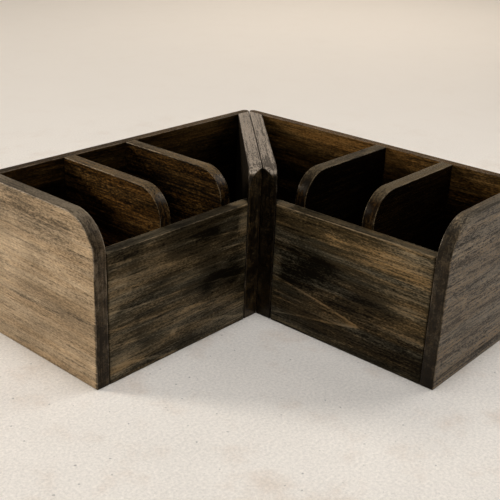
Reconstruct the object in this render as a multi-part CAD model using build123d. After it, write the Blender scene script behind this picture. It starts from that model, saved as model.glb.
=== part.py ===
from build123d import *
import os
from math import sqrt

# Corner utensil caddy: two mitred timber boxes, or wings, that stand side by side round a right angle.
# Each wing is drawn once in its own plan axes: X runs outward along the front from the concave corner,
# Y runs from the front face to the back face, and Z runs up from the table. The left wing is its mirror.

# Outside of one wing, in millimetres
height = 150.0               # end panels, back panel and dividers, from the table
front_drop = 31.5            # how far the front panel stops below the ends
depth = 149.0                # front face to back face
front_length = 198.0         # concave corner to the outer face, along the front
seam_gap = 0.6               # open seam between the two wings

# Boards
end_board = 12.8             # outer and mitred end panels
front_board = 12.0
back_board = 9.0
divider_board = 11.8
bottom_board = 6.0
bottom_rise = 6.0            # table to the underside of the bottom panel

# Dividers, from the concave corner to the middle of the board
inner_divider_at = 36.0
outer_divider_at = 110.3

# Rounded and eased edges
end_round = 34.0             # top front corner of the outer end panels
mitre_round = 18.0           # top front corner of the mitred end panels
divider_round = 28.0         # top front corner of the dividers
nose_flat = 1.2              # square strip left beside the bevel of a mitred end panel
tip_round_share = 0.5        # rounding of the back panel's acute tip, of its board
ease = 0.8                   # sanded arrises

# Joinery
glue_line = 0.05             # between butted boards
fit = 0.1                    # slack of a tongue, spline or dowel in its slot
groove_depth = 4.0           # the bottom panel's groove in the walls
housing_depth = 3.6          # the dividers' housings in the front and back panels
housing_stop = 10.0          # housings end this far below the top of their board
dowel_across = 6.0
dowel_in_wall = 6.0          # length in the board whose face is drilled
dowel_in_edge = 17.0         # length in the board whose edge is drilled
dowel_chamfer = 0.7
dowel_count = 3
dowel_margin = 24.0          # lowest and highest dowel, from the bottom panel and from the top of the joint
spline_board = 3.0
spline_depth = 4.5           # in each of the two boards that the spline joins
spline_margin = 16.0         # ends of the spline, from the bottom panel and from the top of the joint
front_spline_share = 0.38    # place of the front spline across the front panel's cut end
back_spline_share = 0.66     # place of the back spline across the mitred panel's cut end

# Turns, in degrees
mitre_angle = 45             # seam plane to the end of the front panel
quarter_turn = 90

# Worked out
diagonal = sqrt(2)
front_height = height - front_drop
floor_top = bottom_rise + bottom_board
seam_face = seam_gap / 2
mitre_inside = seam_face + end_board
back_inside = depth - back_board
end_inside = front_length - end_board
overrun = end_board
reach = front_length + depth

# Tests on edges
touching = 0.005             # nearer than this counts as touching
smooth_share = 0.999         # cosine above which two faces run on into each other
edge_shares = (0, 0.5, 1)    # places along an edge where it is tested


# Drawing aids

def block(x_span, y_span, z_span):
    """Box between two limits along each axis."""
    low, high = zip(x_span, y_span, z_span)
    sizes = [end - start for start, end in zip(low, high)]
    return Pos(*low) * Box(*sizes, align=(Align.MIN, Align.MIN, Align.MIN))


def prism(outline, z_span):
    """Upright prism over an outline in plan."""
    face = make_face(Polyline(*outline, close=True))
    return Pos(0, 0, z_span[0]) * extrude(face, amount=z_span[1] - z_span[0], dir=(0, 0, 1))


def on_mitre(normal, y):
    """Plan point at a distance from the seam plane and a depth behind the front face."""
    return (normal * diagonal - y, y)


def sharp_edges(board):
    """Edges of a board where two faces meet at an angle."""
    found = ShapeList()
    for edge in board.edges():
        middle = edge @ edge_shares[1]
        normals = [face.normal_at(middle) for face in board.faces() if face.distance_to(middle) < touching]
        if abs(normals[0].dot(normals[-1])) < smooth_share:
            found.append(edge)
    return found


def edges_on(board, plane):
    """Edges of a board that lie in a plane."""
    def lies(edge):
        return all(abs(plane.to_local_coords(edge @ share).Z) < touching for share in edge_shares)
    return ShapeList([edge for edge in board.edges() if lies(edge)])


def eased(board, covered):
    """Board with its arrises sanded, apart from the edges that a joint covers."""
    return fillet(sharp_edges(board) - covered, ease)


def round_corner(board, radius):
    """Board with its top front corner rounded square to its faces."""
    corner = board.edges().filter_by(Axis.X).group_by(Axis.Z)[-1].sort_by(Axis.Y)[0]
    return fillet(corner, radius)


# Bottom panel

def floor_outline(grown):
    """Plan of the space between the walls, grown into them by a groove's depth."""
    front, back = front_board - grown, back_inside + grown
    side = end_inside + grown
    slant = mitre_inside - grown
    return [on_mitre(slant, front), (side, front), (side, back), on_mitre(slant, back)]


floor_groove = prism(floor_outline(groove_depth), (bottom_rise - fit, floor_top + fit))
bottom_panel = prism(floor_outline(groove_depth - fit), (bottom_rise, floor_top))


# End panels

def outer_end_blank():
    """Outer end panel before its grooves and holes; the back panel covers its back edge."""
    board = block((end_inside, front_length), (0, back_inside - glue_line), (0, height))
    board = round_corner(board, end_round)
    return eased(board, edges_on(board, Plane.XZ.offset(glue_line - back_inside)))


def mitre_end_blank():
    """End panel on the seam: its nose is rounded, then bevelled flush with the front face."""
    nose = nose_flat - mitre_inside
    board = block((seam_face, mitre_inside), (nose, depth * diagonal), (0, height))
    board = Rot(0, 0, mitre_angle) * round_corner(board, mitre_round)
    board = board & block((-reach, reach), (0, back_inside - glue_line), (0, height))
    return eased(board, edges_on(board, Plane.XZ.offset(glue_line - back_inside)))


# Long panels

def front_blank():
    """Front panel between the two end panels, cut at the mitre angle at its inner end."""
    start, end = mitre_inside + glue_line, end_inside - glue_line
    outline = [on_mitre(start, 0), (end, 0), (end, front_board), on_mitre(start, front_board)]
    board = prism(outline, (0, front_height))
    joints = [Plane.YZ.offset(end), Plane(origin=(*on_mitre(start, 0), 0), z_dir=(1, 1, 0))]
    covered = ShapeList()
    for joint in joints:
        covered += edges_on(board, joint)
    return eased(board, covered)


def back_blank():
    """Back panel over the whole length, mitred at the seam, with its acute tip rounded."""
    outline = [on_mitre(seam_face, back_inside), (front_length, back_inside), (front_length, depth),
               on_mitre(seam_face, depth)]
    board = prism(outline, (0, height))
    tip = board.edges().filter_by(Axis.Z).sort_by(Axis.X)[0]
    board = fillet(tip, back_board * tip_round_share)
    return eased(board, board.edges().filter_by(Axis.Z).group_by(Axis.Y)[0])


# Dividers

def divider(middle):
    """Divider with a tongue in the front panel and one in the back panel."""
    sides = (middle - divider_board / 2, middle + divider_board / 2)
    start, end = front_board + glue_line, back_inside - glue_line
    foot = floor_top + glue_line
    board = round_corner(block(sides, (start, end), (foot, height)), divider_round)
    covered = edges_on(board, Plane.XZ.offset(-end)) + edges_on(board, Plane.XY.offset(foot))
    board = eased(board, covered)
    tongue = housing_depth - fit
    board += block(sides, (front_board - tongue, start + ease), (foot, front_height - housing_stop))
    board += block(sides, (end - ease, back_inside + tongue), (foot, height - housing_stop))
    return board


def housings(middle):
    """Stopped housings for one divider: the cut in the front panel and the one in the back panel."""
    sides = (middle - divider_board / 2 - fit, middle + divider_board / 2 + fit)
    in_front = block(sides, (front_board - housing_depth, front_board + overrun),
                     (bottom_rise, front_height - housing_stop + fit))
    in_back = block(sides, (back_inside - overrun, back_inside + housing_depth),
                    (bottom_rise, height - housing_stop + fit))
    return in_front, in_back


# Dowels at the two corners of the outer end panel

def dowel_heights(top):
    """Heights of a row of dowels in a joint that reaches up to a given top."""
    low, high = floor_top + dowel_margin, top - dowel_margin
    return [low + (high - low) * place / (dowel_count - 1) for place in range(dowel_count)]


def dowels(seat, turn, top, slack):
    """Row of dowels whose local Z points from the drilled face into the drilled edge."""
    length = dowel_in_wall + dowel_in_edge + 2 * slack
    pin = Pos(0, 0, -dowel_in_wall - slack) * Cylinder(
        dowel_across / 2 + slack, length, align=(Align.CENTER, Align.CENTER, Align.MIN))
    pin = chamfer(pin.edges().filter_by(GeomType.CIRCLE), dowel_chamfer)
    return [Pos(*seat, level) * turn * pin for level in dowel_heights(top)]


front_corner = ((end_inside, front_board / 2), Rot(0, -quarter_turn, 0), front_height)
back_corner = ((end_inside + end_board / 2, back_inside), Rot(quarter_turn, 0, 0), height)


# Loose splines across the two joints of the mitred end panel

def spline(seat, angle, top, slack):
    """Upright spline, square to the joint that it crosses."""
    wide, thick = spline_depth + slack, spline_board / 2 + slack
    low, high = floor_top + spline_margin - slack, top - spline_margin + slack
    return Pos(*seat, 0) * Rot(0, 0, angle) * block((-wide, wide), (-thick, thick), (low, high))


front_joint = (on_mitre(mitre_inside, front_board * front_spline_share), mitre_angle, front_height)
back_joint = (on_mitre(seam_face + end_board * back_spline_share, back_inside), quarter_turn, height)

# Boards with their slots and holes
front_panel = front_blank() - floor_groove
back_panel = back_blank() - floor_groove
for place in (inner_divider_at, outer_divider_at):
    in_front, in_back = housings(place)
    front_panel -= in_front
    back_panel -= in_back
front_holes = dowels(*front_corner, fit)
back_holes = dowels(*back_corner, fit)
front_slot = spline(*front_joint, fit)
back_slot = spline(*back_joint, fit)

wing = {
    "back_panel": back_panel - back_holes - back_slot,
    "front_panel": front_panel - front_holes - front_slot,
    "outer_end_panel": outer_end_blank() - floor_groove - front_holes - back_holes,
    "mitre_end_panel": mitre_end_blank() - floor_groove - front_slot - back_slot,
    "bottom_panel": bottom_panel,
    "inner_divider": divider(inner_divider_at),
    "outer_divider": divider(outer_divider_at),
    "outer_front_dowels": Compound(dowels(*front_corner, 0)),
    "outer_back_dowels": Compound(dowels(*back_corner, 0)),
    "mitre_front_spline": spline(*front_joint, 0),
    "mitre_back_spline": spline(*back_joint, 0),
}

# Both wings in the caddy's frame: origin under the middle of the square that the caddy fills
corner = (front_length - depth) / 2
seam_plane = Plane(origin=(0, 0, 0), z_dir=(1, -1, 0))
os.makedirs("parts", exist_ok=True)
for name, piece in wing.items():
    right = Pos(corner, corner, 0) * Rot(0, 0, -quarter_turn) * piece
    export_step(right, f"parts/right_{name}.step")
    export_step(mirror(right, about=seam_plane), f"parts/left_{name}.step")
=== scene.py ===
"""Corner utensil caddy: its looks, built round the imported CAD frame.

Two mitred timber boxes, or wings, stand side by side round a right angle. Every board is eased along its
arrises and carries its own cut of grain under a dark stain. Lengths are in metres.
"""

import logging
import math
from dataclasses import dataclass, field, replace
from enum import Enum
from typing import Any, NamedTuple

import bmesh
import bpy
from mathutils import Euler, Matrix, Vector


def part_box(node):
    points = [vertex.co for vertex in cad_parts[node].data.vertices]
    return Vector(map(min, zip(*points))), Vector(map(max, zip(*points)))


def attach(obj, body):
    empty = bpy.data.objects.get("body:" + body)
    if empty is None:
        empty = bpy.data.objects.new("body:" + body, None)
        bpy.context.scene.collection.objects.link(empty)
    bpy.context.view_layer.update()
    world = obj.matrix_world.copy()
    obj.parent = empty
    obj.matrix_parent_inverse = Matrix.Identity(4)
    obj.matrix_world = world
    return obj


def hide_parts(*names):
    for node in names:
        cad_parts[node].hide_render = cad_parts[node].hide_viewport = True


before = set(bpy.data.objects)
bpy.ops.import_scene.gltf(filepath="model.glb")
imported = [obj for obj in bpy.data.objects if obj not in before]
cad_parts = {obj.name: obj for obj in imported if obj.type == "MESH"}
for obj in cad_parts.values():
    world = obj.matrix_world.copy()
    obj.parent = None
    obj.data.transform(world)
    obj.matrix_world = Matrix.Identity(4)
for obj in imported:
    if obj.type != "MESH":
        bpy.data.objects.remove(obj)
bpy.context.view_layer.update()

log = logging.getLogger("caddy")

Socket = bpy.types.NodeSocket
Triple = tuple[float, float, float]
MM = 0.001
QUARTER = math.pi / 2


class Wave(NamedTuple):
    """Soft noise: waves per metre along each axis, finer layers, and the strength of each finer layer."""

    scale: Triple
    detail: float = 2.0
    rough: float = 0.5


def label(name: str) -> str:
    """Give the label of a value's socket, such as End Shade for end_shade."""
    return name.replace("_", " ").title()


def labelled(settings: Any, names: tuple[str, ...]) -> dict[str, Any]:
    """Give some values of an object by the labels of their sockets."""
    return {label(name): getattr(settings, name) for name in names}


@dataclass(frozen=True)
class Value:
    """A number, vector or colour in a node tree: sums of numbers add the nodes that work them out."""

    graph: "Graph"
    socket: Socket

    def __add__(self, other: Any) -> "Value":
        """Add another number."""
        return self.graph.math("ADD", self, other)

    def __sub__(self, other: Any) -> "Value":
        """Take another number away."""
        return self.graph.math("SUBTRACT", self, other)

    def __rsub__(self, other: float) -> "Value":
        """Take this number away from a plain one."""
        return self.graph.math("SUBTRACT", other, self)

    def __mul__(self, other: Any) -> "Value":
        """Multiply by another number."""
        return self.graph.math("MULTIPLY", self, other)

    def __truediv__(self, other: Any) -> "Value":
        """Divide by another number."""
        return self.graph.math("DIVIDE", self, other)

    def __abs__(self) -> "Value":
        """Drop the sign."""
        return self.graph.math("ABSOLUTE", self)


class Graph:
    """A node tree with short calls for adding nodes and joining their sockets."""

    # Sockets of a colour mix: the share and the two colours, and the result
    MIX_INPUTS = (0, 6, 7)
    MIX_OUTPUT = 2

    def __init__(self, tree: bpy.types.NodeTree) -> None:
        """Keep the tree that the other calls fill."""
        self.tree = tree

    def join(self, socket: Socket, value: Any) -> None:
        """Link a socket to a value, or set it to a plain one.

        Args:
            socket: Input socket to fill.
            value: Value or socket of the tree, plain number, vector or colour.
        """
        source = value.socket if isinstance(value, Value) else value
        if isinstance(source, Socket):
            self.tree.links.new(source, socket)
        elif socket.type == "RGBA":
            socket.default_value = (*source, 1.0)
        else:
            socket.default_value = source

    def fill(self, node: bpy.types.Node, inputs: dict) -> None:
        """Fill sockets of a node, by name or number."""
        for key, value in inputs.items():
            self.join(node.inputs[key], value)

    def add(self, kind: str, inputs: dict | None = None, **settings: Any) -> bpy.types.Node:
        """Add a node, set its options and fill its inputs.

        Args:
            kind: Blender's name for the type of node.
            inputs: What goes into its sockets, by name or number.
            **settings: Options of the node.

        Returns:
            The new node.
        """
        node = self.tree.nodes.new(kind)
        for option, choice in settings.items():
            setattr(node, option, choice)
        self.fill(node, inputs or {})
        return node

    def work_out(self, kind: str, inputs: dict, output: int | str = 0, **settings: Any) -> Value:
        """Add a node and give the value that comes out of one of its sockets."""
        return Value(self, self.add(kind, inputs, **settings).outputs[output])

    def math(self, operation: str, *values: Any, clamp: bool = False) -> Value:
        """Work out a number by the name of the sum, such as ADD; clamp keeps it between 0 and 1."""
        inputs = dict(enumerate(values))
        return self.work_out("ShaderNodeMath", inputs, operation=operation, use_clamp=clamp)

    def vector(self, operation: str, *values: Any) -> Value:
        """Work out a vector by the name of the sum, such as MULTIPLY."""
        return self.work_out("ShaderNodeVectorMath", dict(enumerate(values)), operation=operation)

    def scaled(self, vector: Any, share: Any) -> Value:
        """Give a vector or a colour times a number."""
        return self.work_out("ShaderNodeVectorMath", {0: vector, "Scale": share}, operation="SCALE")

    def length(self, vector: Any) -> Value:
        """Give the length of a vector."""
        return self.work_out("ShaderNodeVectorMath", {0: vector}, "Value", operation="LENGTH")

    def split(self, vector: Any) -> list[Value]:
        """Give the three parts of a vector."""
        return [Value(self, part) for part in self.add("ShaderNodeSeparateXYZ", {0: vector}).outputs]

    def combine(self, *parts: Any) -> Value:
        """Give the vector with these three parts."""
        return self.work_out("ShaderNodeCombineXYZ", dict(enumerate(parts)))

    def hypot(self, first: Value, second: Value) -> Value:
        """Give the length of the long side over two sides at a right angle."""
        return self.math("SQRT", first * first + second * second)

    def centred(self, value: Value, swing: float) -> Value:
        """Carry a number from between 0 and 1 to a swing about 0."""
        return value * swing - swing / 2

    def top_front(self, along: Value, across: Value) -> Value:
        """Give 1 in the top front quarter of a board, and 0 elsewhere."""
        return self.math("LESS_THAN", along, 0.0) * self.math("GREATER_THAN", across, 0.0)

    def ramp(self, value: Any, low: Any, high: Any, start: Any = 0.0, end: Any = 1.0,
             smooth: bool = True) -> Value:
        """Carry a number from one range to another, and hold it at the ends.

        Args:
            value: Number to carry over.
            low: Where the first range starts.
            high: Where the first range ends.
            start: Result at the low end.
            end: Result at the high end.
            smooth: Whether the change eases in and out.

        Returns:
            The result.
        """
        inputs = {"Value": value, "From Min": low, "From Max": high, "To Min": start, "To Max": end}
        shape = "SMOOTHSTEP" if smooth else "LINEAR"
        return self.work_out("ShaderNodeMapRange", inputs, interpolation_type=shape)

    def between(self, share: Any, start: Any, end: Any) -> Value:
        """Give the number at a share, from 0 to 1, of the way from a start to an end."""
        return self.ramp(share, 0.0, 1.0, start, end, smooth=False)

    def noise(self, place: Any, wave: Wave) -> Value:
        """Give soft noise about 0.5 at a place."""
        inputs = {"Vector": self.vector("MULTIPLY", place, wave.scale), "Scale": 1.0,
                  "Detail": wave.detail, "Roughness": wave.rough}
        return self.work_out("ShaderNodeTexNoise", inputs)

    def mix(self, share: Any, first: Any, second: Any, blend: str = "MIX") -> Value:
        """Mix two colours, with a share of the second one, in the way that blend names."""
        inputs = dict(zip(self.MIX_INPUTS, (share, first, second)))
        return self.work_out("ShaderNodeMix", inputs, self.MIX_OUTPUT, data_type="RGBA", blend_type=blend)


def new_group(name: str, kind: str, inputs: dict[str, tuple[str, ...]],
              outputs: dict[str, tuple[str, ...]]) -> tuple[Graph, dict[str, Value], bpy.types.Node]:
    """Start a node group with named sockets.

    Args:
        name: Name of the group.
        kind: ShaderNodeTree or GeometryNodeTree.
        inputs: Names of the inputs, by type of socket.
        outputs: Names of the outputs, by type of socket.

    Returns:
        The group's graph, the values of its inputs by label, and its output node.
    """
    tree = bpy.data.node_groups.new(name, kind)
    for sockets, way in ((inputs, "INPUT"), (outputs, "OUTPUT")):
        for socket, names in sockets.items():
            for each in names:
                tree.interface.new_socket(label(each), in_out=way, socket_type=f"NodeSocket{socket}")
    graph = Graph(tree)
    given = {each.name: Value(graph, each) for each in graph.add("NodeGroupInput").outputs}
    return graph, given, graph.add("NodeGroupOutput")


def new_material(name: str) -> tuple[bpy.types.Material, Graph]:
    """Start a material with an empty node tree.

    Args:
        name: Name of the material.

    Returns:
        The material and the graph of its tree.
    """
    material = bpy.data.materials.new(name)
    material.use_nodes = True
    material.node_tree.nodes.clear()
    return material, Graph(material.node_tree)


def put(name: str, data: bpy.types.ID) -> bpy.types.Object:
    """Put a new object in the scene, at the origin.

    Args:
        name: Name of the object.
        data: Its mesh, lamp or camera.

    Returns:
        The new object.
    """
    made = bpy.data.objects.new(name, data)
    bpy.context.scene.collection.objects.link(made)
    return made


class Side(Enum):
    """The two wings, as someone in front of the concave corner sees them."""

    LEFT = "left"
    RIGHT = "right"

    @property
    def body(self) -> str:
        """Name of the wing's CAD body."""
        return f"{self.value}_wing"

    @property
    def mitre(self) -> float:
        """How far the inner end of a front panel runs back for each unit across the board."""
        return 1.0 if self is Side.LEFT else -1.0


class Lie(Enum):
    """Which way a board lies in its wing."""

    ALONG_FRONT = "along the front"
    FRONT_TO_BACK = "front to back"
    ON_SEAM = "on the seam"
    FLAT = "flat on the floor of the wing"

    def turn(self, side: Side) -> Triple:
        """Turn that lays the board's own axes in the caddy's frame.

        Args:
            side: Wing that the board belongs to.

        Returns:
            Turn about X, Y and Z, in radians.
        """
        along_front = 2 * QUARTER if side is Side.LEFT else -QUARTER
        turns = {
            Lie.ALONG_FRONT: (0.0, 0.0, along_front),
            Lie.FRONT_TO_BACK: (0.0, 0.0, QUARTER if side is Side.LEFT else 0.0),
            Lie.ON_SEAM: (0.0, 0.0, QUARTER / 2),
            Lie.FLAT: (QUARTER, 0.0, along_front),
        }
        return turns[self]


@dataclass(frozen=True)
class Board:
    """One board: X runs along its grain from the front or inner end, Y through it and Z across it."""

    centre: Triple
    turn: Triple
    length: float
    thickness: float
    height: float
    nose: float = 0.0
    mitre: float = 0.0
    slant: float = 0.0

    @classmethod
    def from_node(cls, node: str, turn: Triple, nose: float = 0.0, tongue: float = 0.0,
                  mitre: float = 0.0, slant: float = 0.0) -> "Board":
        """Measure a board on its CAD node.

        Args:
            node: Name of the CAD node.
            turn: Turn of the board's own axes.
            nose: Radius of the top front corner.
            tongue: Length hidden in a housing at each end.
            mitre: Slope of the inner end through the board.
            slant: Slope of the inner end across the board.

        Returns:
            The board that shows.
        """
        low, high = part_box(node)
        axes = Euler(turn).to_matrix()
        length, thickness, height = (abs(part) for part in axes.transposed() @ (high - low))
        cut = (abs(mitre) * thickness + abs(slant) * height) / 2
        centre = (low + high) / 2 + axes @ Vector((cut / 2, 0.0, 0.0))
        return cls(tuple(centre), turn, length - cut - 2 * tongue, thickness, height, nose, mitre, slant)


class BoardTree:
    """Geometry Nodes tree of an eased board with a rounded nose and, where it needs them, slanted ends."""

    SIZES = ("length", "thickness", "height", "nose", "mitre", "slant")
    PLACES = ("centre", "turn")
    EASE_ROWS = 2
    CORNER_ROWS = 24
    MIDDLE_ROWS = 8
    SUPPORT_ROWS = 2
    SUPPORT = 4 * MM
    UNEVEN = Wave((45.0, 45.0, 45.0))
    TINY = 1e-7

    def __init__(self) -> None:
        """Build the tree once."""
        inputs = {"Float": (*self.SIZES, "Ease", "Unevenness", "Seed"), "Vector": self.PLACES,
                  "Material": ("Timber",)}
        self.graph, self.given, self.result = new_group(
            "Eased board", "GeometryNodeTree", inputs, {"Geometry": ("Board",)})
        self._fill()

    def _rows(self, share: Value, counts: list[int], lengths: list[Value]) -> Value:
        """Space the rows of vertices along one axis.

        Args:
            share: Place along a unit cube, from -0.5 to 0.5.
            counts: Rows in each stretch of the axis.
            lengths: Length of each stretch.

        Returns:
            The distance from the low end.
        """
        total = sum(counts)
        row = share * total + total / 2
        steps = []
        done = 0
        for count, length in zip(counts, lengths):
            steps.append(self.graph.ramp(row, done, done + count, 0.0, length, smooth=False))
            done += count
        return sum(steps[1:], steps[0])

    def _fill(self) -> None:
        """Lay out the rows, round the corners, ease the arrises, cut the ends and set the board in place."""
        graph, given = self.graph, self.given
        ease, nose, length, thickness, height = (
            given[size] for size in ("Ease", "Nose", "Length", "Thickness", "Height"))
        corner = graph.math("MAXIMUM", nose, self.SUPPORT)
        near = corner - ease
        far = self.SUPPORT - ease
        ends = corner + self.SUPPORT
        long_counts = [self.EASE_ROWS, self.CORNER_ROWS, self.MIDDLE_ROWS, self.SUPPORT_ROWS, self.EASE_ROWS]
        thin_counts = [self.EASE_ROWS, self.SUPPORT_ROWS, self.EASE_ROWS]
        cube = graph.add("GeometryNodeMeshCube", {
            "Size": (1.0, 1.0, 1.0), "Vertices X": sum(long_counts) + 1,
            "Vertices Y": sum(thin_counts) + 1, "Vertices Z": sum(long_counts) + 1})
        along, through, across = graph.split(graph.add("GeometryNodeInputPosition").outputs[0])
        half_length, half_thickness, half_height = (size * 0.5 for size in (length, thickness, height))
        x = self._rows(along, long_counts, [ease, near, length - ends, far, ease]) - half_length
        y = self._rows(through, thin_counts, [ease, thickness - ease * 2.0, ease]) - half_thickness
        z = self._rows(across, long_counts[::-1], [ease, far, height - ends, near, ease]) - half_height

        wander = graph.noise(graph.vector("ADD", graph.combine(x, y, z), given["Seed"]), self.UNEVEN)
        local_ease = ease * (1.0 - wander * given["Unevenness"])
        radius = graph.top_front(x, z) * graph.math("MAXIMUM", nose - ease, 0.0) + ease
        flat_x = half_length - radius
        flat_y = half_thickness - local_ease
        flat_z = half_height - radius
        past_x, past_y, past_z = (graph.math("MAXIMUM", abs(part) - flat, 0.0)
                                  for part, flat in ((x, flat_x), (y, flat_y), (z, flat_z)))
        square = graph.math("MAXIMUM", past_x, past_z)
        rim = graph.math("MAXIMUM", square - (radius - local_ease), 0.0)
        bevel = graph.math("MAXIMUM", graph.hypot(rim, past_y), self.TINY)
        arris = graph.math("MAXIMUM", rim, past_y) / bevel
        sweep = graph.math("MAXIMUM", graph.hypot(past_x, past_z), self.TINY)
        turned = (square - rim * (1.0 - arris)) / sweep

        def placed(value: Value, flat: Value, past: Value, share: Value) -> Value:
            """Give a vertex's place on one axis from its rounded distance."""
            rounded = past * share + graph.math("MINIMUM", abs(value), flat)
            return graph.math("SIGN", value) * rounded

        x = placed(x, flat_x, past_x, turned)
        z = placed(z, flat_z, past_z, turned)
        y = placed(y, flat_y, past_y, arris)
        lean = given["Mitre"] * y + given["Slant"] * z
        x = (0.5 - x / length) * lean + x

        shaped = graph.add("GeometryNodeSetPosition", {
            "Geometry": cube.outputs["Mesh"], "Position": graph.combine(x, y, z)})
        smooth = graph.add("GeometryNodeSetShadeSmooth", {"Geometry": shaped.outputs[0]})
        turn = graph.add("FunctionNodeEulerToRotation", {0: given["Turn"]})
        laid = graph.add("GeometryNodeTransform", {
            "Geometry": smooth.outputs[0], "Translation": given["Centre"], "Rotation": turn.outputs[0]})
        real = graph.add("GeometryNodeRealizeInstances", {"Geometry": laid.outputs[0]})
        dressed = graph.add("GeometryNodeSetMaterial", {
            "Geometry": real.outputs[0], "Material": given["Timber"]})
        graph.fill(self.result, {"Board": dressed.outputs[0]})

    def grow(self, name: str, board: Board, ease: float, uneven: float, seed: float,
             timber: bpy.types.Material) -> bpy.types.Object:
        """Make a board as a plain mesh.

        Args:
            name: Name of the new object.
            board: Place and sizes of the board.
            ease: Radius of its arrises.
            uneven: Share by which the easing varies.
            seed: Number that sets its own variation.
            timber: Material of the board.

        Returns:
            The board, at the origin, with its place in its mesh.
        """
        piece = put(name, bpy.data.meshes.new(name))
        modifier = piece.modifiers.new("Board", "NODES")
        modifier.node_group = self.graph.tree
        values = labelled(board, self.SIZES + self.PLACES)
        values |= {"Ease": ease, "Unevenness": uneven, "Seed": seed, "Timber": timber}
        for item in self.graph.tree.interface.items_tree:
            if item.in_out == "INPUT":
                modifier[item.identifier] = values[item.name]
        depsgraph = bpy.context.evaluated_depsgraph_get()
        mesh = bpy.data.meshes.new_from_object(piece.evaluated_get(depsgraph))
        piece.modifiers.clear()
        empty = piece.data
        piece.data = mesh
        bpy.data.meshes.remove(empty)
        mesh.name = name
        return piece


@dataclass(frozen=True)
class Stain:
    """What the dark stain makes of a board, from its open grain to its hard pale fibres, with painted
    highlights and shade at its edges.
    """

    deep: Triple
    body: Triple
    pale: Triple
    bare: Triple
    end_shade: float = 0.7
    edge_shade: float = 1.0
    top_rub: float = 0.5
    arris_rub: float = 0.7
    dirt: float = 0.0
    blush: float = 0.5
    rough: float = 0.34
    gloss: float = 0.35


@dataclass(frozen=True)
class Pool:
    """A soft patch of a board, lighter or darker: some are where the stain took unevenly, some are painted
    light or shade.
    """

    along: float
    across: float
    length: float
    height: float
    change: float
    through: float = 0.0
    depth: float = 2.0


@dataclass(frozen=True)
class Cut:
    """How a board was sawn from its log: pith through and across the board, and what the rings look like,
    with the painted shade that changes along it.
    """

    pith: tuple[float, float]
    base: float = 0.5
    taper: float = 0.14
    ring: float = 17 * MM
    phase: float = 0.0
    sway: float = 12 * MM
    rings: float = 0.25
    bands: float = 0.3
    fibres: float = 0.8
    pores: float = 0.45
    clouds: float = 0.4
    fade: float = 0.0
    smudge: float = 0.0
    foot: float = 0.0
    seed: float = 0.0
    pools: tuple[Pool, ...] = ()


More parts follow.
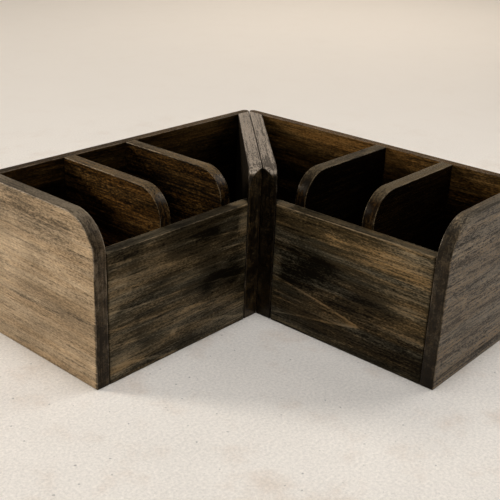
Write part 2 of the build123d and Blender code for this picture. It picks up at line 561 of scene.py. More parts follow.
class TimberShop:
    """Shader groups for grain, edge wear with painted highlights and shade, and stain, and the materials that
    are made from them.
    """

    # Values of a cut and of a stain that go straight into the groups
    CUT_VALUES = ("base", "taper", "ring", "phase", "sway", "rings", "bands", "fibres", "pores", "clouds",
                  "fade", "smudge")
    STAIN_COLOURS = ("deep", "body", "pale", "bare")
    STAIN_VALUES = ("end_shade", "edge_shade", "top_rub", "arris_rub", "dirt", "blush", "rough")

    # Noise in the timber, from the sway of the log to single specks
    SWAY = Wave((4.0, 10.0, 10.0))
    WOBBLE = Wave((20.0, 48.0, 48.0))
    CLOUDS = Wave((11.0, 24.0, 24.0), 4.0, 0.6)
    WARMTH = Wave((7.0, 110.0, 110.0), 3.0, 0.6)
    BANDS = Wave((5.0, 160.0, 160.0), 4.0, 0.7)
    FIBRES = Wave((16.0, 470.0, 470.0), 2.0, 0.6)
    DASHES = Wave((28.0, 680.0, 680.0), 2.0, 0.6)
    STREAKS = Wave((62.0, 760.0, 760.0), 1.0)
    PORES = Wave((90.0, 700.0, 700.0), 1.0)
    SPECKS = Wave((380.0, 1150.0, 1150.0), 1.0)
    BLOTCHES = Wave((60.0, 110.0, 110.0), 3.0, 0.65)
    LAYERS = Wave((40.0, 620.0, 28.0), 3.0, 0.65)
    ARRIS_PATCHES = Wave((90.0, 260.0, 90.0), 3.0, 0.65)
    RAGGED = Wave((30.0, 70.0, 70.0), 4.0, 0.65)
    SEED_SPREAD = (3.1, 7.3, 5.7)

    # Year rings: how they wander, the pale line that ends a year, and its strength by year and off the pith
    SWAY_SWING = 2.0
    WOBBLE_REACH = 3 * MM
    LINE_RISE = (0.85, 0.95)
    LINE_FALL = (1.0, 0.97)
    YEAR_DRIFT = 0.4
    YEAR_STEP = 2.4
    YEAR_WEIGHT = (0.25, 1.0)
    PITH_FADE = (8 * MM, 40 * MM, 1.0, 0.25)

    # Soft clouds in the stain, and how they weaken the rings and the fibres
    CLOUD_EDGE = (0.32, 0.68)
    CLOUDED_RINGS = (0.4, 1.2)
    CLOUDED_FIBRES = (0.55, 1.2)

    # How far each fine layer swings the tone, and where streaks, pores and warm bands start
    BAND_SWING = 2.0
    FIBRE_SWING = 2.1
    DASH_SWING = 2.0
    SPECK_SWING = 2.9
    STREAK_CHANGE = 0.5
    STREAK_EDGE = (0.58, 0.72)
    PORE_EDGE = (0.58, 0.7)
    WARMTH_EDGE = (0.36, 0.64)

    # The dark foot of a board and the smudged upper part; set below zero, it is painted shade that leaves the
    # upper part lighter
    FOOT_EDGE = 1.5 * MM
    FOOT_CHANGE = -0.3
    SMUDGE_EDGE = (-5 * MM, 60 * MM)
    SMUDGE_WANDER = -30 * MM

    # Arrises, worn and with a painted highlight, narrow edges, and the dark joints, whose mark runs along the
    # foot too as painted shade
    ARRIS_WIDTH = 1.1 * MM
    ARRIS_PATCH_EDGE = (0.3, 0.75, 0.35, 1.3)
    EDGE_REACH = (0.9 * MM, 0.3 * MM)
    FOOT_WEIGHT = 1.5
    JOINT_REACH = 3.0

    # Pools: how ragged they are and where they end, in half lengths
    POOL_RAGGED = 1.4
    POOL_EDGE = (1.75, 0.9)

    # Colours of the stain along the tone, its tint, and how rough it dries
    DEEP_TO_BODY = (0.05, 0.5)
    BODY_TO_PALE = (0.5, 1.2)
    MOTTLE_SWING = 3.0
    COOL = (0.92, 1.00, 1.10)
    WARM = (1.14, 0.97, 0.72)
    BARE_BY_TONE = (0.1, 0.6, 0.25, 1.0)
    ROUGH_IN_DARK = 0.22
    ROUGH_ON_END = -0.08
    ROUGH_ON_ARRIS = -0.08

    # Faces that look along the grain or up, the relief of the fibres, and the tint of the sheen
    END_FACING = (0.35, 0.9)
    TOP_FACING = (0.6, 0.97)
    END_RELIEF = 0.3
    RELIEF = 0.35
    RELIEF_DEPTH = 0.15 * MM
    SHEEN_TINT = (1.0, 0.82, 0.62)

    def __init__(self) -> None:
        """Build the groups once."""
        self.grain = self._grain_group()
        self.arris = self._arris_group()
        self.stain = self._stain_group()
        self.pool = self._pool_group()

    def _grain_group(self) -> bpy.types.NodeTree:
        """Build the group that gives the tone of solid timber at a point of the log, with the painted shade
        that a cut lays along and across it.

        Returns:
            Group with the tone, the mottle of the end grain, the warmth and the height of the fibres.
        """
        graph, given, result = new_group("Timber grain", "ShaderNodeTree", {
            "Vector": ("Grain", "Seed"), "Float": ("Pith Through", "Pith Across", "Foot", *self.CUT_VALUES)},
            {"Float": ("Tone", "Mottle", "Warmth", "Height")})
        place = graph.vector("ADD", given["Grain"], given["Seed"])
        along, through, across = graph.split(given["Grain"])

        sway = graph.centred(graph.noise(place, self.SWAY), self.SWAY_SWING) * given["Sway"]
        wobble = graph.centred(graph.noise(place, self.WOBBLE), self.WOBBLE_REACH)
        off_pith = graph.hypot(through - given["Pith Through"], across - given["Pith Across"])
        off_pith = along * given["Taper"] + off_pith + sway + wobble
        count = off_pith / given["Ring"] + given["Phase"]
        year = graph.math("FRACT", count)
        line = graph.ramp(year, *self.LINE_RISE) * graph.ramp(year, *self.LINE_FALL)
        weight = graph.math("SINE", graph.math("FLOOR", count) * self.YEAR_STEP)
        weight = graph.ramp(weight, -1.0, 1.0, *self.YEAR_WEIGHT, smooth=False)
        clouds = graph.ramp(graph.noise(place, self.CLOUDS), *self.CLOUD_EDGE)
        ring = (graph.centred(year, self.YEAR_DRIFT) + line) * weight
        ring = ring * graph.ramp(off_pith, *self.PITH_FADE) * graph.between(clouds, *self.CLOUDED_RINGS)

        bands, fibres, dashes, specks, blotches, layers = (graph.noise(place, wave) for wave in (
            self.BANDS, self.FIBRES, self.DASHES, self.SPECKS, self.BLOTCHES, self.LAYERS))
        streaks = graph.ramp(graph.noise(place, self.STREAKS), *self.STREAK_EDGE)
        pores = graph.ramp(graph.noise(place, self.PORES), *self.PORE_EDGE)
        foot = graph.ramp(across, given["Foot"], given["Foot"] - self.FOOT_EDGE)
        smudge = graph.ramp(clouds * self.SMUDGE_WANDER + across, *self.SMUDGE_EDGE)
        fine = given["Fibres"] * graph.between(clouds, *self.CLOUDED_FIBRES)

        tone = ring * given["Rings"] + given["Base"] + (clouds - 0.5) * given["Clouds"]
        # Painted shade: the change along the board, and a smudged top set below zero, which leaves the top
        # lighter, stand in for how light falls on it
        tone = tone + along * given["Fade"] + foot * self.FOOT_CHANGE - smudge * given["Smudge"]
        for wave, share, swing in ((bands, given["Bands"], self.BAND_SWING), (fibres, fine, self.FIBRE_SWING),
                                   (dashes, fine, self.DASH_SWING), (specks, fine, self.SPECK_SWING)):
            tone = tone + graph.centred(wave, swing) * share
        tone = tone + (streaks * self.STREAK_CHANGE - pores * given["Pores"]) * fine
        warmth = graph.ramp(graph.noise(place, self.WARMTH), *self.WARMTH_EDGE)
        graph.fill(result, {"Tone": tone, "Mottle": blotches + layers - 0.5, "Warmth": warmth,
                            "Height": fibres + dashes - pores})
        return graph.tree

    def _arris_group(self) -> bpy.types.NodeTree:
        """Build the group that finds the arrises, which take wear and a painted highlight, the narrow edges,
        and the joints and foot of a board, which take grime and painted shade.

        Returns:
            Group with a mask of each of the three.
        """
        graph, given, result = new_group("Arris wear, highlight and foot shade", "ShaderNodeTree", {
            "Vector": ("Grain", "Seed", "Size"), "Float": ("Nose", "Width")},
            {"Float": ("Arris", "Edge", "Joint And Foot")})
        along, through, across = graph.split(given["Grain"])
        half_length, half_thickness, half_height = graph.split(graph.scaled(given["Size"], 0.5))
        radius = graph.top_front(along, across) * given["Nose"]
        past_x = abs(along) - (half_length - radius)
        past_z = abs(across) - (half_height - radius)
        beyond = graph.hypot(graph.math("MAXIMUM", past_x, 0.0), graph.math("MAXIMUM", past_z, 0.0))
        inside = graph.math("MINIMUM", graph.math("MAXIMUM", past_x, past_z), 0.0)
        rim = radius - (beyond + inside)
        face = half_thickness - abs(through)
        patchy = graph.noise(graph.vector("ADD", given["Grain"], given["Seed"]), self.ARRIS_PATCHES)
        reach = given["Width"] * graph.ramp(patchy, *self.ARRIS_PATCH_EDGE)
        to_end = half_length - abs(along)
        # Painted shade: the joint mark also runs along the foot, as the dark contact line where the board
        # meets the floor
        to_foot = (across + half_height) * self.FOOT_WEIGHT
        nearest = graph.math("MINIMUM", to_end, to_foot)
        graph.fill(result, {"Arris": graph.ramp(graph.hypot(rim, face), reach, 0.0),
                            "Edge": graph.ramp(rim, *self.EDGE_REACH),
                            "Joint And Foot": graph.ramp(nearest, reach * self.JOINT_REACH, 0.0)})
        return graph.tree

    def _pool_group(self) -> bpy.types.NodeTree:
        """Build the group that shifts the tone in a soft, ragged patch.

        Returns:
            Group with the shifted tone.
        """
        graph, given, result = new_group("Stain pool", "ShaderNodeTree", {
            "Vector": ("Grain", "Seed", "Centre", "Reach"), "Float": ("Tone", "Change")},
            {"Float": ("Tone",)})
        off = graph.vector("SUBTRACT", given["Grain"], given["Centre"])
        ragged = graph.noise(graph.vector("ADD", given["Grain"], given["Seed"]), self.RAGGED)
        distance = ragged * self.POOL_RAGGED + graph.length(graph.vector("DIVIDE", off, given["Reach"]))
        patch = graph.ramp(distance, *self.POOL_EDGE)
        graph.fill(result, {"Tone": patch * given["Change"] + given["Tone"]})
        return graph.tree

    def _stain_group(self) -> bpy.types.NodeTree:
        """Build the group that turns tone, wear and painted highlights and shade into the colour and
        roughness of the stained board.

        Returns:
            Group with the colour and the roughness.
        """
        graph, given, result = new_group("Dark stain", "ShaderNodeTree", {
            "Float": ("Tone", "Mottle", "Warmth", "Arris", "Edge", "Joint And Foot", "Top", "End Grain",
                      *self.STAIN_VALUES), "Color": self.STAIN_COLOURS},
            {"Color": ("Color",), "Float": ("Roughness",)})
        tone = graph.centred(given["Mottle"], self.MOTTLE_SWING) * given["End Grain"] + given["Tone"]
        colour = graph.mix(graph.ramp(tone, *self.DEEP_TO_BODY, smooth=False), given["Deep"], given["Body"])
        colour = graph.mix(graph.ramp(tone, *self.BODY_TO_PALE, smooth=False), colour, given["Pale"])
        tint = graph.mix(given["Warmth"], self.COOL, self.WARM)
        colour = graph.mix(given["Blush"], colour, graph.mix(1.0, colour, tint, "MULTIPLY"))
        end = graph.between(given["End Grain"], 1.0, given["End Shade"])
        edge = graph.between(given["Edge"], 1.0, given["Edge Shade"])
        shaded = graph.scaled(colour, end * edge)
        # Dark joints; along the foot the same mark is painted shade
        dirt = given["Joint And Foot"] * given["Dirt"]
        # The pale worn colour goes on arrises and upward edges, where it is also a painted highlight and
        # sheen of the light that catches them
        edge_marks = graph.math("ADD", given["Arris"] * given["Arris Rub"], given["Top"] * given["Top Rub"],
                            clamp=True)
        edge_marks = edge_marks * graph.ramp(tone, *self.BARE_BY_TONE) * (1.0 - dirt)
        colour = graph.mix(dirt, graph.mix(edge_marks, shaded, given["Bare"]), given["Deep"])
        rough = (0.5 - tone) * self.ROUGH_IN_DARK + given["Rough"] + given["End Grain"] * self.ROUGH_ON_END
        rough = graph.math("ADD", rough, given["Arris"] * self.ROUGH_ON_ARRIS, clamp=True)
        graph.fill(result, {"Color": colour, "Roughness": rough})
        return graph.tree

    def board_material(self, name: str, board: Board, cut: Cut, stain: Stain) -> bpy.types.Material:
        """Make the material of one board.

        Args:
            name: Name of the material.
            board: Board whose place and sizes the pattern follows.
            cut: How the board was sawn.
            stain: How the stain took.

        Returns:
            The new material.
        """
        material, graph = new_material(name)
        coordinates = graph.add("ShaderNodeTexCoord").outputs
        grain = graph.add("ShaderNodeMapping", {
            "Vector": coordinates["Object"], "Location": board.centre, "Rotation": board.turn},
            vector_type="TEXTURE").outputs[0]
        facing = graph.add("ShaderNodeMapping", {
            "Vector": coordinates["Normal"], "Rotation": board.turn}, vector_type="TEXTURE").outputs[0]
        facing_along, _, facing_up = graph.split(facing)
        common = {"Grain": grain, "Seed": tuple(cut.seed * share for share in self.SEED_SPREAD)}
        timber = graph.add("ShaderNodeGroup", common | labelled(cut, self.CUT_VALUES) | {
            "Pith Through": cut.pith[0], "Pith Across": cut.pith[1], "Foot": cut.foot - board.height / 2},
            node_tree=self.grain).outputs
        edge_marks = graph.add("ShaderNodeGroup", common | {
            "Size": (board.length, board.thickness, board.height), "Nose": board.nose,
            "Width": self.ARRIS_WIDTH}, node_tree=self.arris).outputs
        tone = timber["Tone"]
        for spot in cut.pools:
            tone = graph.add("ShaderNodeGroup", common | {
                "Centre": (spot.along, spot.through, spot.across),
                "Reach": (spot.length / 2, spot.depth / 2, spot.height / 2),
                "Tone": tone, "Change": spot.change}, node_tree=self.pool).outputs["Tone"]
        end_grain = graph.ramp(abs(facing_along), *self.END_FACING)
        # Narrow edges that face up, which take wear and a painted sheen of the light from above
        top = graph.ramp(facing_up, *self.TOP_FACING) * edge_marks["Edge"]
        stained = graph.add("ShaderNodeGroup", labelled(stain, self.STAIN_COLOURS + self.STAIN_VALUES) | {
            "Tone": tone, "Mottle": timber["Mottle"], "Warmth": timber["Warmth"], "Arris": edge_marks["Arris"],
            "Edge": edge_marks["Edge"], "Joint And Foot": edge_marks["Joint And Foot"], "Top": top, "End Grain": end_grain},
            node_tree=self.stain).outputs
        relief = graph.between(end_grain, 1.0, self.END_RELIEF) * timber["Height"]
        bump = graph.add("ShaderNodeBump", {
            "Strength": self.RELIEF, "Distance": self.RELIEF_DEPTH, "Height": relief})
        surface = graph.add("ShaderNodeBsdfPrincipled", {
            "Base Color": stained["Color"], "Roughness": stained["Roughness"],
            "Specular IOR Level": stain.gloss, "Specular Tint": self.SHEEN_TINT, "Normal": bump.outputs[0]})
        graph.add("ShaderNodeOutputMaterial", {"Surface": surface.outputs[0]})
        return material


# Stains of the boards; some are darker copies that paint shade, and a paler one that paints sheen
# Paler stain on the left end; its paleness is partly painted sheen, where the lamp catches the fibres of its
# lit side
PALE_SHEENED_END = Stain(deep=(0.090, 0.066, 0.040), body=(0.350, 0.254, 0.154), pale=(0.700, 0.525, 0.340),
                 bare=(0.780, 0.630, 0.450), edge_shade=0.235, top_rub=0.08, arris_rub=0.5, blush=0.25,
                 gloss=0.12)
GREY_END = Stain(deep=(0.022, 0.0165, 0.0098), body=(0.098, 0.0745, 0.048), pale=(0.310, 0.240, 0.158),
                 bare=(0.220, 0.170, 0.118), end_shade=0.22, edge_shade=0.6, top_rub=0.1, gloss=0.2)
FRONT = Stain(deep=(0.0032, 0.0023, 0.0007), body=(0.048, 0.0385, 0.0225), pale=(0.255, 0.192, 0.114),
              bare=(0.280, 0.200, 0.115), edge_shade=0.52, top_rub=0.05, arris_rub=0.8, dirt=0.85, blush=0.6,
              gloss=0.06)
WARM_FRONT = replace(FRONT, pale=(0.255, 0.184, 0.104), blush=0.95)
INNER = Stain(deep=(0.0020, 0.0010, 0.0003), body=(0.037, 0.0187, 0.0053), pale=(0.185, 0.099, 0.032),
              bare=(0.225, 0.166, 0.094), end_shade=0.3, top_rub=0.3, rough=0.30, gloss=0.12)
FLOOR = replace(INNER, arris_rub=0.0)
BACK = Stain(deep=(0.0025, 0.0013, 0.0004), body=(0.037, 0.0187, 0.0050), pale=(0.200, 0.106, 0.033),
             bare=(0.200, 0.150, 0.102), edge_shade=0.6, top_rub=0.05, arris_rub=0.9, rough=0.30, gloss=0.15)
# A darker copy of the back stain for the left back panel: painted shade on a face that stays in shade
SHADE_PAINTED_BACK = replace(BACK, deep=(0.0008, 0.0004, 0.0001), body=(0.010, 0.0053, 0.0015),
                    pale=(0.070, 0.038, 0.012), edge_shade=1.2, gloss=0.1)
# A darker copy of the inner stain for the right dividers: painted shade on faces that stay in shade, with
# their edges brightened back
SHADE_PAINTED_INNER = Stain(deep=(0.0008, 0.0004, 0.0002), body=(0.0042, 0.0022, 0.0008), pale=(0.018, 0.0100, 0.0036),
               bare=(0.225, 0.166, 0.094), end_shade=0.8, edge_shade=2.2, top_rub=0.35, rough=0.30, gloss=0.1)
SEAM = Stain(deep=(0.0040, 0.0026, 0.0012), body=(0.018, 0.0122, 0.0057), pale=(0.090, 0.061, 0.031),
             bare=(0.376, 0.303, 0.233), top_rub=0.75, gloss=0.2)
DARK_SEAM = Stain(deep=(0.0020, 0.0013, 0.0006), body=(0.009, 0.0061, 0.0028), pale=(0.050, 0.034, 0.017),
                  bare=(0.382, 0.308, 0.237), end_shade=0.4, top_rub=0.75, gloss=0.1)
RAW = Stain(deep=(0.30, 0.21, 0.12), body=(0.45, 0.33, 0.20), pale=(0.56, 0.43, 0.28),
            bare=(0.60, 0.47, 0.32), rough=0.6)


def pools(*rows: tuple[float, float, float, float, float]) -> tuple[Pool, ...]:
    """Make pools from rows of along, across, length and height, in millimetres, and change of tone."""
    return tuple(Pool(*(part * MM for part in row[:-1]), row[-1]) for row in rows)


# Lighter and darker patches of the boards: most are where the stain took unevenly, and the ones marked are
# painted light or shade
LEFT_FRONT_POOLS = pools(
    (-50, -8, 70, 36, -0.30),
    (-30, 44, 60, 16, -0.32),
    (45, 3, 64, 32, -0.32),
    (35, -54, 120, 18, -0.36),
    (68, 54, 56, 18, -0.40),
    (30, 40, 56, 24, 0.26),
    (72, 34, 36, 22, 0.25),
    (-4, 10, 70, 24, 0.24),
    (74, -44, 36, 28, 0.30),
    (-66, 16, 46, 58, -0.30),
    # Painted highlight: a lighter band at the inner end, by the mitre
    (-75, 46, 18, 32, 0.45),
    (13.5, -37.3, 9, 7, 0.45),
    # Painted light: a lit patch on the top edge by the mitre
    (-75, 59.2, 26, 6, 0.60),
)
RIGHT_FRONT_POOLS = pools(
    (20, 36, 220, 50, 0.20),
    (-47, 7, 110, 60, -0.54),
    (12, -12, 100, 46, -0.24),
    (58, -36, 140, 54, -0.24),
    (66, 6, 56, 20, 0.28),
    # Painted highlight: a lighter band at the inner end, by the mitre
    (-76, 0, 18, 40, 0.42),
    (-30, -32, 90, 24, 0.10),
    # Painted light: a lit patch on the top edge by the mitre
    (-75, 59.2, 26, 6, 0.60),
)
LEFT_END_POOLS = pools(
    # Painted shade: the narrow front edge darkens towards the bottom
    (-70, -60, 6, 130, -0.60),
    (-12, 54, 100, 34, -0.14),
    (-8, -16, 110, 44, -0.12),
    (40, 26, 80, 50, 0.14),
)
SEAM_POOLS = pools(
    (-88, 70, 16, 26, -0.50),
    (-88, -40, 30, 70, 0.35),
    (-76, 75, 50, 30, -0.20),
)
# Painted shadow over the back and lower part of the left dividers' faces
LEFT_DIVIDER_SHADOW_POOLS = pools((45, -5, 160, 160, -0.42))

# Cuts of the boards that show most
LEFT_FRONT_CUT = Cut(pith=(0.05, -0.09), base=0.52, taper=-0.1, ring=14 * MM, rings=1.4, fibres=0.40,
                     clouds=0.6, fade=0.9, seed=11.0, pools=LEFT_FRONT_POOLS)
LEFT_END_CUT = Cut(pith=(0.09, 0.05), base=0.54, rings=0.05, bands=0.25, fibres=0.44, pores=0.1, clouds=0.30,
                   smudge=0.2, seed=12.0, pools=LEFT_END_POOLS)
RIGHT_FRONT_CUT = Cut(pith=(-0.004, -0.03), base=0.46, taper=0.18, ring=18.4 * MM, phase=1.662, sway=3 * MM,
                      rings=0.55, bands=0.6, fibres=0.45, clouds=0.35, fade=0.40, seed=21.0,
                      pools=RIGHT_FRONT_POOLS)
RIGHT_END_CUT = Cut(pith=(0.12, 0.08), rings=0.05, bands=0.9, fibres=0.9, clouds=0.15, foot=11 * MM,
                    seed=22.0)


@dataclass
class Wing:
    """One mitred box of the caddy: walls, dividers, bottom panel and hidden joinery."""

    side: Side
    shop: TimberShop
    tree: BoardTree
    end_stain: Stain
    front_stain: Stain
    divider_stain: Stain
    back_stain: Stain
    seam_stain: Stain
    front_cut: Cut
    end_cut: Cut
    divider_shadow_pools: tuple[Pool, ...] = ()
    end_nose: float = 34 * MM
    divider_nose: float = 28 * MM
    seam_nose: float = 18 * MM
    tongue: float = 3.5 * MM
    seam_gap: float = 0.6 * MM
    end_board: float = 12.8 * MM
    ease: float = 0.8 * MM
    uneven: float = 0.35
    seed: float = 0.0
    pieces: list[bpy.types.Object] = field(default_factory=list)

    def node(self, piece: str) -> str:
        """Name of one of the wing's CAD nodes."""
        return f"{self.side.value}_{piece}"

    def inner_face(self, thickness: float) -> float:
        """Place through a back or mitred panel of the face that looks into the wing."""
        return self.side.mitre * thickness / 2

    def measure(self, piece: str, lie: Lie, **shape: float) -> Board:
        """Measure the board of a piece that lies one way and has one shape."""
        return Board.from_node(self.node(piece), lie.turn(self.side), **shape)

    def grow(self, piece: str, slot: str, board: Board, cut: Cut, stain: Stain) -> None:
        """Grow a board in place of its CAD node.

        Args:
            piece: Name of the piece in the wing.
            slot: Material slot of the record; not used.
            board: Place and sizes of the board.
            cut: How the board was sawn.
            stain: How the stain took.
        """
        node = self.node(piece)
        timber = self.shop.board_material(f"{node}_timber", board, cut, stain)
        made = self.tree.grow(f"{node}_board", board, self.ease, self.uneven, cut.seed, timber)
        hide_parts(node)
        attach(made, self.side.body)
        self.pieces.append(made)

    def dress(self, piece: str, board: Board, cut: Cut, stain: Stain) -> None:
        """Give a CAD node the material of its board.

        Args:
            piece: Name of the piece in the wing.
            board: Place and sizes that the grain follows.
            cut: How the board was sawn.
            stain: How the stain took.
        """
        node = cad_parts[self.node(piece)]
        timber = self.shop.board_material(f"{node.name}_timber", board, cut, stain)
        node.data.materials.clear()
        node.data.materials.append(timber)
        self.pieces.append(node)

    def build_outer_end(self) -> None:
        """Build the outer end panel with its large rounded corner."""
        board = self.measure("outer_end_panel", Lie.FRONT_TO_BACK, nose=self.end_nose)
        self.grow("outer_end_panel", "outer_end_panels", board, self.end_cut, self.end_stain)

    def build_front(self) -> None:
        """Build the front panel, cut at the mitre at its inner end."""
        board = self.measure("front_panel", Lie.ALONG_FRONT, mitre=self.side.mitre)
        self.grow("front_panel", "front_panels", board, self.front_cut, self.front_stain)

    def build_dividers(self) -> None:
        """Build the two round-nosed dividers."""
        for order, piece in enumerate(("inner_divider", "outer_divider")):
            board = self.measure(piece, Lie.FRONT_TO_BACK, nose=self.divider_nose, tongue=self.tongue)
            cut = Cut(pith=(0.05, 0.03 - 0.05 * order), base=0.35 + 0.2 * order, rings=0.2, bands=0.5,
                      fibres=0.7, seed=self.seed + 1.7 + order, pools=self.divider_shadow_pools)
            self.grow(piece, "dividers", board, cut, self.divider_stain)

    def build_bottom(self) -> None:
        """Build the bottom panel, slanted along the seam."""
        board = self.measure("bottom_panel", Lie.FLAT, slant=-self.side.mitre)
        self.grow("bottom_panel", "bottom_panels", board, Cut(pith=(0.06, 0.0), seed=self.seed + 4.1), FLOOR)

    def dress_back(self) -> None:
        """Dress the back panel, with painted shade low on its inner face and a painted shadow beside the
        seam.
        """
        board = self.measure("back_panel", Lie.ALONG_FRONT)
        # Painted shade low on the inner face, and a painted shadow beside the seam
        painted_shade_low = Pool(along=0.0, across=-0.03, length=0.6, height=0.2, change=-0.45,
                        through=self.inner_face(board.thickness), depth=board.thickness)
        painted_shadow_by_seam = replace(painted_shade_low, along=-0.15, across=0.0, length=0.1, height=0.6, change=-0.40)
        # Painted shade and light: the tone falls along the board and is lifted near its top
        cut = Cut(pith=(0.07, 0.02), base=0.20, bands=0.6, fibres=0.4, fade=-1.2, smudge=-0.58,
                  seed=self.seed + 5.3, pools=(painted_shade_low, painted_shadow_by_seam))
        self.dress("back_panel", board, cut, self.back_stain)

    def dress_seam(self) -> None:
        """Dress the mitred end panel on the seam, with its inner face darker all over."""
        low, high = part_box(self.node("mitre_end_panel"))
        off_seam = (self.seam_gap + self.end_board) / 2
        across = Vector((-1.0, 1.0, 0.0)).normalized() * (off_seam * self.side.mitre)
        middle = (low + high) / 2
        level = (middle.x + middle.y) / 2
        span = high - low
        board = Board((level + across.x, level + across.y, middle.z), Lie.ON_SEAM.turn(self.side),
                      math.hypot(span.x, span.y), self.end_board, span.z, self.seam_nose)
        inside = Pool(along=0.0, across=0.0, length=0.8, height=0.6, change=-0.6,
                      through=self.inner_face(board.thickness), depth=board.thickness / 4)
        cut = Cut(pith=(0.04, -0.02), fibres=1.0, seed=self.seed + 6.9, pools=(*SEAM_POOLS, inside))
        self.dress("mitre_end_panel", board, cut, self.seam_stain)

    def dress_joinery(self) -> None:
        """Dress the dowels and splines that the joints hide."""
        for order, piece in enumerate(("outer_front_dowels", "outer_back_dowels",
                                       "mitre_front_spline", "mitre_back_spline")):
            board = self.measure(piece, Lie.ALONG_FRONT)
            self.dress(piece, board, Cut(pith=(0.02, 0.0), seed=self.seed + 8.0 + order), RAW)

    def build(self) -> list[bpy.types.Object]:
        """Build and dress the whole wing.

        Returns:
            Every piece of the wing.
        """
        self.build_outer_end()
        self.build_front()
        self.build_dividers()
        self.build_bottom()
        self.dress_back()
        self.dress_seam()
        self.dress_joinery()
        return self.pieces


@dataclass(frozen=True)
class Softbox:
    """A square lamp that shines at a point."""

    name: str
    place: Triple
    aim: Triple
    size: float
    power: float
    spread: float = math.pi
    colour: Triple = (1.0, 1.0, 1.0)

    def hang(self) -> None:
        """Put the lamp in the scene."""
        lamp = bpy.data.lights.new(self.name, "AREA")
        lamp.shape = "SQUARE"
        lamp.size = self.size
        lamp.energy = self.power
        lamp.spread = self.spread
        lamp.color = self.colour
        holder = put(self.name, lamp)
        holder.location = self.place
        holder.rotation_euler = (Vector(self.aim) - Vector(self.place)).to_track_quat("-Z", "Y").to_euler()
        holder.visible_camera = False


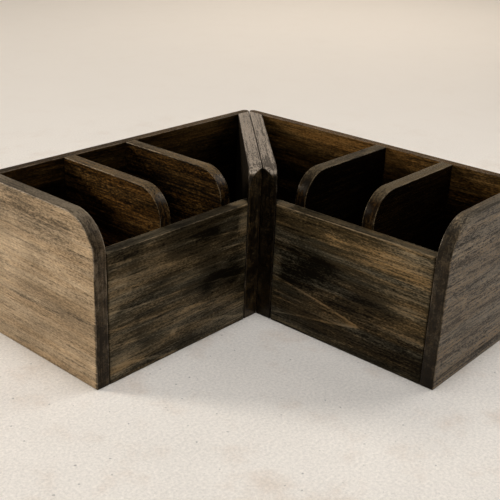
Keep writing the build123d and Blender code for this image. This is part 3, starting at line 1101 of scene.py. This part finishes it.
@dataclass
class Studio:
    """Camera, lamps, and a pale floor that sweeps up into the backdrop all round."""

    # Noise in the plaster, and where its patches, dots, swings of shade and full detail start and end
    CLOUDS = Wave((7.0, 7.0, 7.0), 5.0, 0.65)
    PATCHES = Wave((16.0, 16.0, 16.0), 4.0, 0.6)
    SPECKS = Wave((400.0, 400.0, 400.0), 3.0, 0.75)
    DOTS = Wave((260.0, 260.0, 260.0), 0.0)
    PATCH_EDGE = (0.5, 0.72)
    DOT_EDGE = (0.79, 0.87)
    DOT_SHADE = -0.4
    SPECK_SHADE = (0.3, 0.7, -0.14, 0.14)
    CLOUD_SHADE = (0.25, 0.75, -0.06, 0.06)
    NEAR = (0.4, 0.9, 1.0, 0.1)

    camera_place: Triple = (-0.56769, -0.46896, 0.39924)
    camera_azimuth: float = math.radians(49.575)
    camera_pitch: float = math.radians(-23.34)
    camera_roll: float = math.radians(2.466)
    lens: float = 63.742
    floor_radius: float = 3.4
    sweep_radius: float = 0.8
    wall_height: float = 0.5
    segments: int = 96
    sweep_rows: int = 12
    plaster: Triple = (0.775, 0.713, 0.641)
    plaster_stain: Triple = (0.703, 0.612, 0.526)
    plaster_rough: float = 0.85
    plaster_relief: float = 0.5
    plaster_depth: float = 0.8 * MM
    sky: Triple = (1.0, 0.985, 0.96)
    sky_strength: float = 0.10
    lamps: tuple[Softbox, ...] = (
        Softbox("window", (-1.715, 2.448, 1.216), (0.0, 0.0, 0.07), 0.75, 63.0, colour=(1.0, 0.95, 0.87)),
        Softbox("overhead", (-0.12, -0.12, 2.2), (0.0, 0.0, 0.0), 0.7, 27.0, colour=(0.95, 0.97, 1.0)),
        Softbox("rim", (1.5, -0.7, 1.3), (0.08, -0.3, 0.0), 1.0, 1.6, math.radians(60)),
        Softbox("front_fill", (-1.5, -1.6, 0.8), (0.0, 0.0, 0.05), 1.2, 4.0),
        Softbox("backdrop_light", (1.85, 1.10, 2.2), (1.85, 1.10, 0.0), 1.8, 11.5, math.radians(88),
                (1.0, 0.92, 0.82)),
    )

    def set_camera(self) -> None:
        """Stand the camera where the photograph was taken."""
        camera = bpy.data.cameras.new("camera")
        camera.lens = self.lens
        holder = put("camera", camera)
        holder.matrix_world = (Matrix.Translation(self.camera_place)
                               @ Matrix.Rotation(-self.camera_azimuth, 4, "Z")
                               @ Matrix.Rotation(QUARTER + self.camera_pitch, 4, "X")
                               @ Matrix.Rotation(self.camera_roll, 4, "Z"))
        bpy.context.scene.camera = holder

    def plaster_material(self) -> bpy.types.Material:
        """Make the pale, slightly clouded plaster of the floor.

        Returns:
            The new material.
        """
        material, graph = new_material("pale_plaster")
        place = graph.add("ShaderNodeTexCoord").outputs["Object"]
        clouds = graph.noise(place, self.CLOUDS)
        patches = graph.ramp(graph.noise(place, self.PATCHES), *self.PATCH_EDGE)
        specks = graph.noise(place, self.SPECKS)
        dots = graph.ramp(graph.noise(place, self.DOTS), *self.DOT_EDGE)
        near = graph.ramp(graph.length(place), *self.NEAR)
        swing = graph.ramp(specks, *self.SPECK_SHADE, smooth=False)
        swing = swing + graph.ramp(clouds, *self.CLOUD_SHADE, smooth=False) + dots * self.DOT_SHADE
        colour = graph.mix(patches * near, self.plaster, self.plaster_stain)
        colour = graph.scaled(colour, swing * near + 1.0)
        bump = graph.add("ShaderNodeBump", {
            "Strength": self.plaster_relief, "Distance": self.plaster_depth, "Height": specks})
        surface = graph.add("ShaderNodeBsdfPrincipled", {
            "Base Color": colour, "Roughness": self.plaster_rough, "Normal": bump.outputs[0]})
        graph.add("ShaderNodeOutputMaterial", {"Surface": surface.outputs[0]})
        return material

    def lay_floor(self) -> None:
        """Lay the floor and sweep it up into a wall all round."""
        profile = [(self.floor_radius, 0.0)]
        for row in range(1, self.sweep_rows + 1):
            angle = QUARTER * row / self.sweep_rows
            profile.append((self.floor_radius + self.sweep_radius * math.sin(angle),
                            self.sweep_radius * (1 - math.cos(angle))))
        profile.append((profile[-1][0], self.sweep_radius + self.wall_height))
        mesh = bpy.data.meshes.new("floor")
        build = bmesh.new()
        rings = []
        for radius, level in profile:
            ring = []
            for step in range(self.segments):
                angle = 4 * QUARTER * step / self.segments
                ring.append(build.verts.new((radius * math.cos(angle), radius * math.sin(angle), level)))
            rings.append(ring)
        build.faces.new(rings[0])
        for lower, upper in zip(rings, rings[1:]):
            for step in range(self.segments):
                after = (step + 1) % self.segments
                build.faces.new((lower[after], lower[step], upper[step], upper[after])).smooth = True
        build.to_mesh(mesh)
        build.free()
        mesh.materials.append(self.plaster_material())
        put("floor", mesh)

    def light(self) -> None:
        """Hang the lamps and set the light that comes from all round."""
        for lamp in self.lamps:
            lamp.hang()
        world = bpy.data.worlds.new("studio")
        world.use_nodes = True
        graph = Graph(world.node_tree)
        graph.tree.nodes.clear()
        sky = graph.add("ShaderNodeBackground", {"Color": self.sky, "Strength": self.sky_strength})
        graph.add("ShaderNodeOutputWorld", {"Surface": sky.outputs[0]})
        bpy.context.scene.world = world
        bpy.context.scene.view_settings.view_transform = "Standard"

    def build(self) -> None:
        """Set up the whole studio."""
        self.set_camera()
        self.lay_floor()
        self.light()


def main() -> None:
    """Build the studio and both wings, and report every piece."""
    logging.basicConfig(level=logging.INFO, format="%(name)s: %(message)s")
    Studio().build()
    shop = TimberShop()
    tree = BoardTree()
    wings = (
        Wing(Side.LEFT, shop, tree, PALE_SHEENED_END, FRONT, INNER, SHADE_PAINTED_BACK, SEAM, LEFT_FRONT_CUT, LEFT_END_CUT,
             LEFT_DIVIDER_SHADOW_POOLS, seed=10.0),
        Wing(Side.RIGHT, shop, tree, GREY_END, WARM_FRONT, SHADE_PAINTED_INNER, BACK, DARK_SEAM, RIGHT_FRONT_CUT,
             RIGHT_END_CUT, seed=20.0),
    )
    for wing in wings:
        for piece in wing.build():
            log.info("%s rides on %s", piece.name, wing.side.body)


if __name__ == "__main__":
    main()
